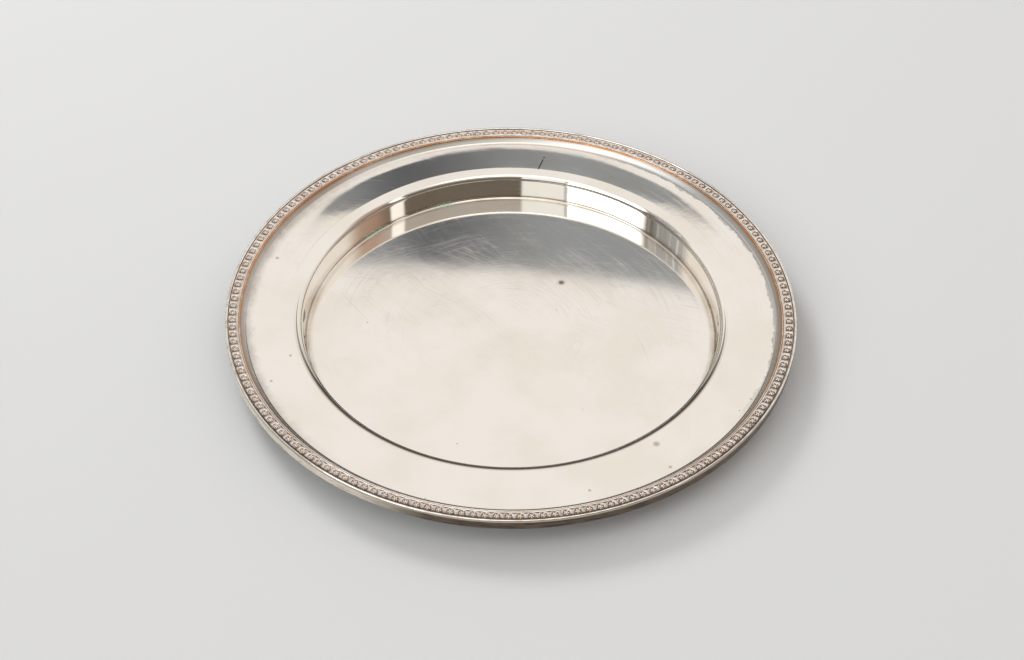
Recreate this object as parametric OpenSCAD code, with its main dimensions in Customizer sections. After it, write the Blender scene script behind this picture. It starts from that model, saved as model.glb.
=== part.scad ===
// Round spun serving platter with a deep flat well, a broad rim and an applied
// border of struck rosettes between two wires. Millimetres, +Z up.
// The origin is on the axis, on the flat underside that the platter rests on.

/* [Platter] */
// Diameter over the outer edge wire
plate_d = 305; // [260:1:400]
// Height from the resting face to the top of the edge wire
plate_h = 21.6; // [16:0.1:32]
// Thickness of the spun sheet
sheet_t = 1.2; // [0.8:0.1:1.3]

/* [Well] */
// Radius of the mouth of the well, where the rolled edge meets the rim
mouth_r = 115.8; // [60:0.1:118]
// Radius of the rolled edge at the mouth
mouth_round = 4.1; // [1.5:0.1:5]
// Lean of the wall outwards from upright, degrees
wall_lean = 4; // [0:0.5:15]
// Fillet between the floor and the wall
foot_fillet = 1.5; // [1:0.1:4]

/* [Rim] */
// Width of the inner ring, which falls to the mouth
ring_w = 3.8; // [2:0.1:8]
// Slope of the inner ring, degrees
ring_slope = 3; // [3:0.5:14]
// Slope of the broad band, which rises outwards, degrees
band_slope = 1.3; // [0:0.1:3]
// Height of the step that lifts the rim to the border
step_h = 2.6; // [2:0.1:3.4]
// Radius of the hollow curve at the foot of the step
cavetto_r = 1.8; // [1:0.1:2.2]
// Slope of the step above its hollow curve, degrees
cavetto_end = 50; // [40:1:70]

/* [Border] */
// Number of struck lengths around the edge, each one a separate piece
border_count = 8; // [4:1:12]
// Rosettes on each length
rosettes_each = 21; // [8:1:21]
// Part of a rosette cut off the last length, where the ring closes
trim = 0.3; // [0:0.05:0.3]
// Angle of the closing joint, where the first length starts, degrees
closing_joint = -36; // [-180:1:180]
// Width of the struck strip
strip_w = 5.2; // [4.7:0.1:7]
// Gauge of the metal that the strip is struck from
strip_t = 0.45; // [0.35:0.05:0.5]
// Radius of a rosette, over its sunk ring
rosette_r = 1.95; // [1.5:0.05:2]
// Width and height of the half-round wire on the outer edge
edge_wire_w = 1.4; // [1:0.1:2]
// Width of the half-round wire inside the strip
inner_wire_w = 1.0; // [0.7:0.1:1.4]
// Height of the plain band that laps the outer edge
edge_band_h = 4.6; // [2:0.1:5]

/* [Hidden] */
$fn = 96;
arc_steps = 8; // straight steps in each curve of the sheet's profile

// Outer edge: the band laps the sheet's cut edge and carries the wire
outer_r = plate_d / 2;
wire_base_z = plate_h - edge_wire_w;
band_set_back = 0.15; // how far the wire stands out past the band
band_t = 0.7;
band_in_r = outer_r - band_set_back - band_t;
band_bevel = 0.25;

// Struck strip: a shallow channel, open below, with a face that dips inwards
wire_groove = 0.3; // gap between the edge wire and the strip
strip_out_r = outer_r - edge_wire_w - wire_groove;
strip_in_r = strip_out_r - strip_w;
strip_out_z = wire_base_z + 0.75;
strip_in_z = strip_out_z - 0.25;
strip_leg = 0.4; // width of the channel's turned-down edges
rosette_angle = 360 / (border_count * rosettes_each - trim);
length_angle = rosettes_each * rosette_angle;
joint_gap = 0.04; // gap at a joint between two lengths, degrees

// Rosettes: a boss inside a sunk ring, near the strip's outer edge
rosette_mid_r = strip_out_r - rosette_r - 0.2;
rosette_z = strip_in_z + (strip_out_z - strip_in_z) * (rosette_mid_r - strip_in_r) / strip_w;
ring_depth = 0.2;
ring_width = 0.5;
boss_r = 0.9;
boss_h = 0.3;
boss_sphere_r = (boss_r * boss_r + boss_h * boss_h) / (2 * boss_h);
boss_root = 0.1; // how deep a boss is rooted in the strip

// Shelf of the sheet that the border stands on, and the wire at its inner side
shelf_z = wire_base_z - 0.4;
inner_wire_h = 0.7;
inner_wire_in_r = strip_in_r - inner_wire_w - 0.05;
shelf_in_r = inner_wire_in_r - 0.05;

// Profile of the sheet's top surface, worked out from the shelf inwards.
// Each curve is an arc about a centre, and the straight stretches join them.
step_run = (step_h - cavetto_r * (cos(band_slope) - cos(cavetto_end))) / sin(cavetto_end);
step_foot = [shelf_in_r, shelf_z] - step_run * [cos(cavetto_end), sin(cavetto_end)];
cavetto_c = step_foot + cavetto_r * [-sin(cavetto_end), cos(cavetto_end)];
band_out = cavetto_c + cavetto_r * [sin(band_slope), -cos(band_slope)];
ring_out_r = mouth_r + ring_w;
ring_out = [ring_out_r, band_out[1] - (band_out[0] - ring_out_r) * tan(band_slope)];
blend_r = 20; // soft turn between the inner ring and the broad band
blend_reach = blend_r * tan((ring_slope - band_slope) / 2);
blend_c = ring_out + blend_reach * [cos(band_slope), sin(band_slope)]
          + blend_r * [sin(band_slope), -cos(band_slope)];
ring_in = [mouth_r, ring_out[1] - ring_w * tan(ring_slope)];
mouth_c = ring_in + mouth_round * [sin(ring_slope), -cos(ring_slope)];
wall_top = mouth_c + mouth_round * [-cos(wall_lean), sin(wall_lean)];
foot_top_z = sheet_t + foot_fillet * (1 - sin(wall_lean));
foot_top_r = wall_top[0] - (wall_top[1] - foot_top_z) * tan(wall_lean);
foot_c = [foot_top_r - foot_fillet * cos(wall_lean), sheet_t + foot_fillet];

// Points of an arc about c with radius r, from angle a to angle b
function arc(c, r, a, b) =
    [for (i = [0:arc_steps]) let (t = a + (b - a) * i / arc_steps) c + r * [cos(t), sin(t)]];

// Outline of the sheet d below its top surface, from the axis to the cut edge
function sheet_line(d) = concat(
    [[0, sheet_t - d]],
    arc(foot_c, foot_fillet + d, -90, -wall_lean),
    arc(mouth_c, mouth_round - d, 180 - wall_lean, 90 + ring_slope),
    arc(blend_c, blend_r - d, 90 + ring_slope, 90 + band_slope),
    arc(cavetto_c, cavetto_r + d, band_slope - 90, cavetto_end - 90),
    [[shelf_in_r + d * tan(cavetto_end / 2), shelf_z - d], [band_in_r, shelf_z - d]]);

function reversed(p) = [for (i = [len(p) - 1:-1:0]) p[i]];

// Section of a half-round wire, w wide and h high, on a flat base
module half_round(w, h) {
    polygon(concat([[0, 0], [w, 0]], arc([w / 2, h - w / 2], w / 2, 0, 180)));
}

// Section of the struck channel
module strip_section() {
    polygon([[strip_in_r, shelf_z],
             [strip_in_r + strip_leg, shelf_z],
             [strip_in_r + strip_leg, strip_in_z - strip_t],
             [strip_out_r - strip_leg, strip_out_z - strip_t],
             [strip_out_r - strip_leg, wire_base_z],
             [strip_out_r, wire_base_z],
             [strip_out_r, strip_out_z],
             [strip_in_r, strip_in_z]]);
}

// Sunk ring around a boss, to cut from the strip's face
module rosette_ring() {
    translate([0, 0, -ring_depth]) difference() {
        cylinder(r = rosette_r, h = 1);
        cylinder(r = rosette_r - ring_width, h = 1);
    }
}

// Domed boss at the heart of a rosette
module rosette_boss() {
    intersection() {
        translate([0, 0, boss_h - boss_sphere_r]) sphere(r = boss_sphere_r);
        translate([0, 0, -boss_root]) cylinder(r = boss_r, h = boss_h + boss_root);
    }
}

// Places its child at each rosette of one length
module at_rosettes() {
    for (k = [0.5:1:rosettes_each]) {
        rotate([0, 0, k * rosette_angle])
            translate([rosette_mid_r, 0, rosette_z]) children();
    }
}

// Floor, wall and rim, spun from one sheet
module dish() {
    color("#e6e1d6")
        rotate_extrude()
            polygon(concat(sheet_line(0), reversed(sheet_line(sheet_t))));
}

// Plain band lapped over the sheet's cut edge
module edge_band() {
    low = wire_base_z - edge_band_h;
    out_r = band_in_r + band_t;
    color("#b5aa98")
        rotate_extrude()
            polygon([[band_in_r, low], [out_r - band_bevel, low], [out_r, low + band_bevel],
                     [out_r, wire_base_z], [band_in_r, wire_base_z]]);
}

// Half-round wire around the outer edge
module edge_wire() {
    color("#f0ebe0")
        rotate_extrude()
            translate([outer_r - edge_wire_w, wire_base_z])
                half_round(edge_wire_w, edge_wire_w);
}

// Half-round wire along the inner edge of the border, worn to the copper
module inner_wire() {
    color("#c98a55")
        rotate_extrude()
            translate([inner_wire_in_r, shelf_z]) half_round(inner_wire_w, inner_wire_h);
}

// Soft solder that fills the struck channel and fixes it to the shelf
module solder_bed() {
    color("#8c8c88")
        rotate_extrude()
            polygon([[strip_in_r + strip_leg, shelf_z],
                     [band_in_r, shelf_z],
                     [band_in_r, wire_base_z],
                     [strip_out_r - strip_leg, wire_base_z],
                     [strip_out_r - strip_leg, strip_out_z - strip_t],
                     [strip_in_r + strip_leg, strip_in_z - strip_t]]);
}

// One struck length of the rosette border; the last one is cut short to fit
module border_length(i) {
    cut = i == border_count ? trim * rosette_angle : 0;
    color(i % 2 == 0 ? "#dcd6c9" : "#d2cbbd")
        rotate([0, 0, closing_joint + (i - 1) * length_angle]) {
            difference() {
                rotate([0, 0, joint_gap / 2])
                    rotate_extrude(angle = length_angle - cut - joint_gap) strip_section();
                at_rosettes() rosette_ring();
            }
            at_rosettes() rosette_boss();
        }
}

dish();
edge_band();
edge_wire();
inner_wire();
solder_bed();
for (i = [1:border_count]) {
    border_length(i);
}
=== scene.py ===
import math
import random

import bmesh
import bpy
from mathutils import Matrix, Vector


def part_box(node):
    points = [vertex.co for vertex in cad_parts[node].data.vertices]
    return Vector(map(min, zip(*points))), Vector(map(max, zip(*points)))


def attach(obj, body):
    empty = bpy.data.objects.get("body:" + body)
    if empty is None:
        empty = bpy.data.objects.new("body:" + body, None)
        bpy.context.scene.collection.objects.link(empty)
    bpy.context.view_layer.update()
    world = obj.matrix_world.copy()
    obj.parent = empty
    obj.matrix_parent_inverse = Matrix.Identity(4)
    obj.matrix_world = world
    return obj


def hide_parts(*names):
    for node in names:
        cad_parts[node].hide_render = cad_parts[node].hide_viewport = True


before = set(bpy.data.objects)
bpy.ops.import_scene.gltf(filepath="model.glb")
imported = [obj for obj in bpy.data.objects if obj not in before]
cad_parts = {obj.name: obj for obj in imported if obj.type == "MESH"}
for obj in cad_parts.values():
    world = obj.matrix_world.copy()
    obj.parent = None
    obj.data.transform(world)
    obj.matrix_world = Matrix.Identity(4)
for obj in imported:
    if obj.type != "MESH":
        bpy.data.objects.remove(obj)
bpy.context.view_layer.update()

mm = 0.001
print("frame loaded,", len(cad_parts), "nodes")

# Sizes that the frame gives, in millimetres
outerRadius = -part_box("edge_wire")[0].x / mm  # the narrowest half of its box
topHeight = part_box("edge_wire")[1].z / mm
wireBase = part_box("edge_wire")[0].z / mm
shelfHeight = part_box("dish")[1].z / mm
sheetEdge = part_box("dish")[1].x / mm
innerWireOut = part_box("inner_wire")[1].x / mm
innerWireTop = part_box("inner_wire")[1].z / mm
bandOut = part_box("edge_band")[1].x / mm
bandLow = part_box("edge_band")[0].z / mm


# Helpers for meshes

def arc(centre, radius, start, end, steps):
    # points along an arc in the (radius, height) plane, angles in degrees
    points = []
    for i in range(steps + 1):
        t = math.radians(start + (end - start) * i / steps)
        points.append((centre[0] + radius * math.cos(t), centre[1] + radius * math.sin(t)))
    return points


def stretch(a, b, steps, guard=0.25):
    # points between a and b, with one close to each end so that smooth shading stays flat
    length = math.dist(a, b)
    shares = [guard / length] + [i / steps for i in range(1, steps)] + [1 - guard / length]
    return [(a[0] + (b[0] - a[0]) * s, a[1] + (b[1] - a[1]) * s) for s in shares]


def finishMesh(name, bm, creaseAngle=35):
    bmesh.ops.remove_doubles(bm, verts=bm.verts, dist=1e-7)
    bmesh.ops.recalc_face_normals(bm, faces=bm.faces)
    mesh = bpy.data.meshes.new(name)
    bm.to_mesh(mesh)
    bm.free()
    mesh.shade_smooth()
    mesh.set_sharp_from_angle(angle=math.radians(creaseAngle))
    piece = bpy.data.objects.new(name, mesh)
    bpy.context.scene.collection.objects.link(piece)
    return piece


def spin(name, outline, segments, lift=None):
    # turns a closed (radius, height) outline about the axis; lift moves points up or down
    bm = bmesh.new()
    rings = []
    for radius, height in outline:
        if radius < 1e-6:
            rings.append([bm.verts.new((0, 0, height * mm))] * segments)
            continue
        ring = []
        for k in range(segments):
            turn = 2 * math.pi * k / segments
            x, y = radius * math.cos(turn), radius * math.sin(turn)
            rise = lift(x, y, radius, height) if lift else 0
            ring.append(bm.verts.new((x * mm, y * mm, (height + rise) * mm)))
        rings.append(ring)
    pairs = list(zip(rings, rings[1:]))
    if outline[0][0] > 1e-6:
        pairs.append((rings[-1], rings[0]))
    for low, high in pairs:
        for k in range(segments):
            n = (k + 1) % segments
            corners = list(dict.fromkeys([low[k], low[n], high[n], high[k]]))
            if len(corners) > 2:
                bm.faces.new(corners)
    return finishMesh(name, bm)


# Helpers for node trees

def add(tree, kind, inputs=(), **settings):
    # adds a node with its settings, then sets or links its inputs, given in order or by key;
    # a node given as an input stands for its first output that is in use
    node = tree.nodes.new(kind)
    for key, value in settings.items():
        setattr(node, key, value)
    if not isinstance(inputs, dict):
        inputs = dict(enumerate(inputs))
    for key, value in inputs.items():
        if isinstance(value, bpy.types.Node):
            value = next(socket for socket in value.outputs if socket.enabled)
        if isinstance(value, bpy.types.NodeSocket):
            tree.links.new(value, node.inputs[key])
        else:
            node.inputs[key].default_value = value
    return node


def linear(hexColour):
    # sRGB hex to linear RGBA
    channels = [int(hexColour[i:i + 2], 16) / 255 for i in (0, 2, 4)]
    return [c / 12.92 if c <= 0.04045 else ((c + 0.055) / 1.055) ** 2.4 for c in channels] + [1]


def startMaterial(name):
    # an empty material, and its Object coordinates in millimetres
    material = bpy.data.materials.new(name)
    material.use_nodes = True
    tree = material.node_tree
    tree.nodes.clear()
    coords = add(tree, "ShaderNodeTexCoord").outputs["Object"]
    place = add(tree, "ShaderNodeVectorMath", {0: coords, "Scale": 1000.0}, operation="SCALE")
    return material, tree, place


def finishMaterial(tree, look):
    # the shader, with a value or a pattern on each of its own sockets that look names
    shader = add(tree, "ShaderNodeBsdfPrincipled", look)
    add(tree, "ShaderNodeOutputMaterial", {"Surface": shader})


def roundTheAxis(tree, place):
    # x, y and height of a place, and its distance from the axis
    x, y, z = add(tree, "ShaderNodeSeparateXYZ", (place,)).outputs
    flat = add(tree, "ShaderNodeCombineXYZ", (x, y))
    radius = add(tree, "ShaderNodeVectorMath", (flat,), operation="LENGTH")
    return x, y, z, radius


def towards(tree, x, y, radius, angle, narrow, wide):
    # 1 on the side that faces angle (degrees), fading to 0 between two openings
    a = math.radians(angle)
    dot = add(tree, "ShaderNodeMath",
              (add(tree, "ShaderNodeMath", (x, math.cos(a)), operation="MULTIPLY"),
               add(tree, "ShaderNodeMath", (y, math.sin(a)), operation="MULTIPLY")),
              operation="ADD")
    cosine = add(tree, "ShaderNodeMath", (dot, radius), operation="DIVIDE")
    return add(tree, "ShaderNodeMapRange",
               (cosine, math.cos(math.radians(wide)), math.cos(math.radians(narrow))),
               interpolation_type="SMOOTHSTEP")


# The spun sheet

dishSizes = {
    "sheet": 1.2,
    "mouthRadius": 115.8,
    "mouthRound": 4.1,
    "wallLean": 4.0,
    "footFillet": 1.5,
    "ringWidth": 3.8,
    "ringSlope": 3.0,
    "bandSlope": 1.3,
    "stepHeight": 2.6,
    "stepRound": 1.8,
    "stepSlope": 50.0,
    "blendRadius": 20.0,
    "innerWireWidth": 1.0,
    "wireGap": 0.05,
    "segments": 360,
    "ripple": 0.006,     # height of the faint unevenness left by spinning and use
    "rippleSeed": 11,
    "turnUp": 1.1,       # degrees by which the rim steepens before the step
    "turnUpFrom": 132.5,
    "warp": 0.5,         # degrees by which the rim is steeper on its bent side
    "warpHeading": 20.0,
}


def dishCurves(s):
    # centres of the curves of the sheet's top surface, worked out from the shelf inwards
    sin = lambda a: math.sin(math.radians(a))
    cos = lambda a: math.cos(math.radians(a))
    tan = lambda a: math.tan(math.radians(a))
    shelfIn = innerWireOut - s["innerWireWidth"] - s["wireGap"]
    curve = s["stepRound"] * (cos(s["bandSlope"]) - cos(s["stepSlope"]))
    run = (s["stepHeight"] - curve) / sin(s["stepSlope"])
    step = (shelfIn - run * cos(s["stepSlope"]) - s["stepRound"] * sin(s["stepSlope"]),
            shelfHeight - run * sin(s["stepSlope"]) + s["stepRound"] * cos(s["stepSlope"]))
    bandEnd = (step[0] + s["stepRound"] * sin(s["bandSlope"]),
               step[1] - s["stepRound"] * cos(s["bandSlope"]))
    ringOut = s["mouthRadius"] + s["ringWidth"]
    turn = (ringOut, bandEnd[1] - (bandEnd[0] - ringOut) * tan(s["bandSlope"]))
    reach = s["blendRadius"] * tan((s["ringSlope"] - s["bandSlope"]) / 2)
    soft = (turn[0] + reach * cos(s["bandSlope"]) + s["blendRadius"] * sin(s["bandSlope"]),
            turn[1] + reach * sin(s["bandSlope"]) - s["blendRadius"] * cos(s["bandSlope"]))
    ringIn = (s["mouthRadius"], turn[1] - s["ringWidth"] * tan(s["ringSlope"]))
    mouth = (ringIn[0] + s["mouthRound"] * sin(s["ringSlope"]),
             ringIn[1] - s["mouthRound"] * cos(s["ringSlope"]))
    wallTop = (mouth[0] - s["mouthRound"] * cos(s["wallLean"]),
               mouth[1] + s["mouthRound"] * sin(s["wallLean"]))
    footTop = s["sheet"] + s["footFillet"] * (1 - sin(s["wallLean"]))
    foot = (wallTop[0] - (wallTop[1] - footTop) * tan(s["wallLean"])
            - s["footFillet"] * cos(s["wallLean"]), s["sheet"] + s["footFillet"])
    return {"shelfIn": shelfIn, "step": step, "soft": soft, "mouth": mouth, "foot": foot}


def dishLine(s, curves, depth):
    # the sheet's surface, depth below the top one, from the axis to the cut edge
    floorHeight = s["sheet"] - depth
    foot = arc(curves["foot"], s["footFillet"] + depth, -90, -s["wallLean"], 9)
    mouth = arc(curves["mouth"], s["mouthRound"] - depth, 180 - s["wallLean"],
                90 + s["ringSlope"], 22)
    soft = arc(curves["soft"], s["blendRadius"] - depth, 90 + s["ringSlope"],
               90 + s["bandSlope"], 3)
    step = arc(curves["step"], s["stepRound"] + depth, s["bandSlope"] - 90,
               s["stepSlope"] - 90, 10)
    corner = (curves["shelfIn"] + depth * math.tan(math.radians(s["stepSlope"] / 2)),
              shelfHeight - depth)
    edge = (sheetEdge, shelfHeight - depth)
    return ([(0, floorHeight)]
            + stretch((4, floorHeight), foot[0], 14) + foot
            + stretch(foot[-1], mouth[0], 3) + mouth
            + stretch(mouth[-1], soft[0], 2) + soft
            + stretch(soft[-1], step[0], 16) + step
            + [corner, edge])


def makeDish(s):
    curves = dishCurves(s)
    rng = random.Random(s["rippleSeed"])
    waves = []
    for wavelength in (95, 70, 52, 40, 33, 27):
        heading = rng.uniform(0, math.pi)
        size = s["ripple"] * (wavelength / 95) ** 1.3
        waves.append((math.cos(heading) * 2 * math.pi / wavelength,
                      math.sin(heading) * 2 * math.pi / wavelength,
                      rng.uniform(0, 2 * math.pi), size))
    top = dishLine(s, curves, 0)
    under = dishLine(s, curves, s["sheet"])
    footEdge = curves["foot"][0] + s["footFillet"]
    underBorder = curves["step"][0] - 1
    ringEdge = s["mouthRadius"] + s["ringWidth"]
    stepFoot = curves["step"][0]

    def rimRise(x, y, radius):
        # how far the rim's turn-up and its bent side lift it, gone again at the border
        reach = min(radius, stepFoot)
        rise = 0
        if reach > s["turnUpFrom"]:
            share = (reach - s["turnUpFrom"]) / (stepFoot - s["turnUpFrom"])
            rise += math.tan(math.radians(s["turnUp"])) * share * (reach - s["turnUpFrom"]) / 2
        if reach > ringEdge:
            heading = math.radians(s["warpHeading"])
            side = (x * math.cos(heading) + y * math.sin(heading)) / radius
            bent = side ** 1.5 if side > 0 else side * 0.2
            rise += math.tan(math.radians(s["warp"])) * bent * (reach - ringEdge)
        return rise * min(1, max(0, (curves["shelfIn"] - radius) / (curves["shelfIn"] - stepFoot)))

    def lift(x, y, radius, height):
        # nothing moves on the resting face, near the foot of the wall or under the border
        if height < s["sheet"] * 0.5:
            return 0
        away = max(0, min(1, abs(radius - footEdge) / 6, (underBorder - radius) / 4))
        ripple = sum(a * math.sin(kx * x + ky * y + p) for kx, ky, p, a in waves)
        return away * ripple + rimRise(x, y, radius)

    return spin("dish_spun", top + under[::-1], s["segments"], lift)


dish = makeDish(dishSizes)
print("dish made,", len(dish.data.polygons), "faces")


# The wires and the outer band

wireSizes = {
    "edgeWidth": 1.4,
    "innerWidth": 1.0,
    "bandThickness": 0.7,
    "bandRound": 0.25,
    "segments": 300,
    "roundSteps": 12,
}


def halfRound(inner, base, width, top, steps):
    # a flat base with a rounded top, as drawn wire has
    middle = (inner + width / 2, top - width / 2)
    start = 0 if middle[1] >= base else math.degrees(math.asin((base - middle[1]) / (width / 2)))
    crown = arc(middle, width / 2, start, 180 - start, steps)
    return [(inner, base), (inner + width, base)] + crown


s = wireSizes
edgeWire = spin("edge_wire_drawn",
                halfRound(outerRadius - s["edgeWidth"], wireBase, s["edgeWidth"], topHeight,
                          s["roundSteps"]), s["segments"])
innerWire = spin("inner_wire_worn",
                 halfRound(innerWireOut - s["innerWidth"], shelfHeight, s["innerWidth"],
                           innerWireTop, s["roundSteps"]), s["segments"])
lip = s["bandRound"]
bandIn = bandOut - s["bandThickness"]
bandOutline = (arc((bandOut - lip, bandLow + lip), lip, -90, 0, 5)
               + [(bandOut, bandLow + 1.2), (bandOut, wireBase - 0.2), (bandOut, wireBase),
                  (bandIn, wireBase)]
               + arc((bandIn + lip, bandLow + lip), lip, 180, 270, 5))
edgeBand = spin("edge_band_lapped", bandOutline, s["segments"])
print("wires and band made")


# The struck border

borderSizes = {
    "lengths": 8,
    "rosettesEach": 21,
    "trim": 0.3,             # part of a rosette cut off at the closing joint
    "closingJoint": -36.0,   # degrees
    "jointGap": 0.04,        # degrees
    "width": 5.2,
    "wireGroove": 0.3,
    "outHeight": 0.75,       # outer edge of the face above the wire's base
    "dip": 0.25,             # fall of the face towards its inner edge
    "gauge": 0.45,
    "leg": 0.4,
    "rosetteRadius": 1.95,
    "rosetteInset": 0.2,
    "hollow": 0.36,          # depth of the sunk ring
    "petals": 5,
    "turnJitter": 0.3,       # radians
    "scaleJitter": 0.06,
    "seed": 5,
}
b = borderSizes
# worked out from the sizes above and from the frame
b["pitch"] = 2 * math.pi / (b["lengths"] * b["rosettesEach"] - b["trim"])
b["outRadius"] = outerRadius - wireSizes["edgeWidth"] - b["wireGroove"]
b["inRadius"] = b["outRadius"] - b["width"]
b["outFace"] = wireBase + b["outHeight"]
b["inFace"] = b["outFace"] - b["dip"]
b["ringRadius"] = b["outRadius"] - b["rosetteRadius"] - b["rosetteInset"]


def faceHeight(b, radius):
    return b["inFace"] + b["dip"] * (radius - b["inRadius"]) / b["width"]


def groundTile(b):
    # one rosette's stretch of the struck channel: a square field round a sunk hollow, a rib
    # and a groove inside it, and the channel's turned-down edges and underside
    bm = bmesh.new()
    side = 5
    half = b["rosetteRadius"] + 0.1
    corners = [(half, 1), (-half, 1), (-half, -1), (half, -1)]

    def point(u, v, z):
        # u outwards from the rosette's middle, v along the border as a share of half a pitch
        radius = b["ringRadius"] + u
        turn = v * b["pitch"] / 2
        return bm.verts.new((radius * math.cos(turn) * mm, radius * math.sin(turn) * mm, z * mm))

    def face(u):
        return faceHeight(b, b["ringRadius"] + u)

    square = []
    for i in range(4):
        start, end = corners[i], corners[(i + 1) % 4]
        for k in range(side):
            u = start[0] + (end[0] - start[0]) * k / side
            v = start[1] + (end[1] - start[1]) * k / side
            square.append(point(u, v, face(u)))
    halfPitch = b["pitch"] / 2 * b["ringRadius"]
    rings = [square]
    # reach as a share of the rosette's radius, and drop below the face
    for radius, drop in ((0.98, 0), (0.95, 0.03), (0.90, 0.14), (0.85, b["hollow"])):
        ring = []
        for k in range(4 * side):
            t = math.radians(45 + k * 90 / side)
            u = radius * b["rosetteRadius"] * math.cos(t)
            v = radius * b["rosetteRadius"] * math.sin(t) / halfPitch
            ring.append(point(u, v, face(u) - drop))
        rings.append(ring)
    for a, c in zip(rings, rings[1:]):
        for k in range(4 * side):
            n = (k + 1) % (4 * side)
            bm.faces.new([a[k], a[n], c[n], c[k]])
    bm.faces.new(rings[-1])

    inU = b["inRadius"] - b["ringRadius"]
    outU = b["outRadius"] - b["ringRadius"]
    legTop = lambda u: face(u) - b["gauge"]
    across = [  # round the section, from the field's inner edge to its outer edge
        (inU + 0.86, face(inU) - 0.10), (inU + 0.74, face(inU) + 0.02),
        (inU + 0.40, face(inU) + 0.11), (inU + 0.08, face(inU) + 0.0),
        (inU, face(inU) - 0.12), (inU, shelfHeight),
        (inU + b["leg"], shelfHeight), (inU + b["leg"], legTop(inU)),
        (outU - b["leg"], legTop(outU)), (outU - b["leg"], wireBase),
        (outU, wireBase), (outU, face(outU) - 0.08), (outU - 0.05, face(outU) + 0.02),
    ]
    inner = [square[side + k] for k in range(side)] + [square[2 * side]]
    outer = [square[0]] + [square[(4 * side - k) % (4 * side)] for k in range(1, side)]
    outer.append(square[3 * side])
    rows = [inner]
    for u, z in across:
        rows.append([point(u, 1 - 2 * k / side, z) for k in range(side + 1)])
    rows.append(outer)
    for a, c in zip(rows, rows[1:]):
        for k in range(side):
            bm.faces.new([a[k], a[k + 1], c[k + 1], c[k]])
    mesh = bpy.data.meshes.new("groundTile")
    bm.to_mesh(mesh)
    bm.free()
    return bpy.data.objects.new("groundTile", mesh)


def flowerHead(b):
    # domed petals round a boss, closed below, standing in the hollow
    bm = bmesh.new()
    count = b["petals"] * 4
    low = -b["hollow"]
    rings = []
    # reach and height at a petal's middle, then at the cleft between two petals
    for reach, height, cleftReach, cleftHeight in (
            (1.60, low - 0.05, 0.98, low - 0.05), (1.50, -0.14, 0.80, low + 0.04),
            (1.16, 0.02, 0.62, low + 0.14), (0.52, -0.10, 0.44, -0.14), (0.38, 0.05, 0.38, 0.05)):
        ring = []
        for k in range(count):
            t = 2 * math.pi * k / count
            petal = abs(math.cos(b["petals"] * t / 2)) ** 0.7
            radius = cleftReach + (reach - cleftReach) * petal
            rise = cleftHeight + (height - cleftHeight) * petal
            ring.append(bm.verts.new((radius * math.cos(t) * mm, radius * math.sin(t) * mm,
                                      rise * mm)))
        rings.append(ring)
    for a, c in zip(rings, rings[1:]):
        for k in range(count):
            n = (k + 1) % count
            bm.faces.new([a[k], a[n], c[n], c[k]])
    top = bm.verts.new((0, 0, 0.12 * mm))
    for k in range(count):
        bm.faces.new([rings[-1][k], rings[-1][(k + 1) % count], top])
    bm.faces.new(rings[0][::-1])
    bmesh.ops.recalc_face_normals(bm, faces=bm.faces)
    mesh = bpy.data.meshes.new("flowerHead")
    bm.to_mesh(mesh)
    bm.free()
    return bpy.data.objects.new("flowerHead", mesh)


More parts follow.
